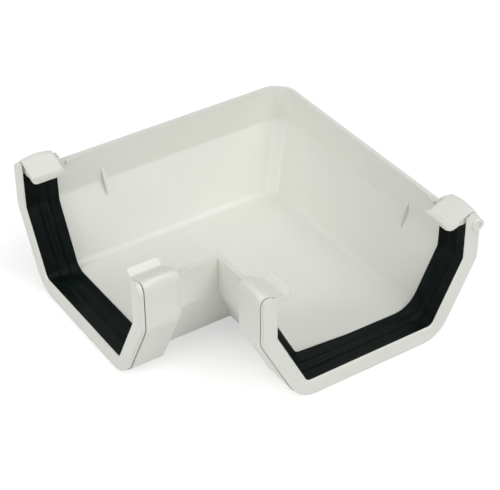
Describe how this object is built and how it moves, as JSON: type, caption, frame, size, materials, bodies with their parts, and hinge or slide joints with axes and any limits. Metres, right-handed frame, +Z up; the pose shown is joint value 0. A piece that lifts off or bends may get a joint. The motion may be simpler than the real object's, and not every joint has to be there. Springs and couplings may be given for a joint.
{
  "type": "gutter angle",
  "caption": "White plastic square-section gutter corner for a right-angle turn, with rubber-sealed sockets and clip straps at its ends.",
  "frame": {"origin": "where the centre lines of the two gutter legs cross, on the flat underside of the channel", "axes": "+Z up, out of the open top; the left leg runs along -X and the right leg along -Y, each to its open socket; the outer corner is at +X +Y"},
  "size_m": [0.1761, 0.1767, 0.0727],
  "materials": {
    "white_pvc": "smooth, slightly glossy moulded plastic in a warm white",
    "black_rubber": "satin black rubber with ribs along it"
  },
  "bodies": {
    "root": {"gutter_angle": "white_pvc", "left_strap": "white_pvc", "right_strap": "white_pvc", "left_seal": "black_rubber", "right_seal": "black_rubber"}
  },
  "joints": []
}
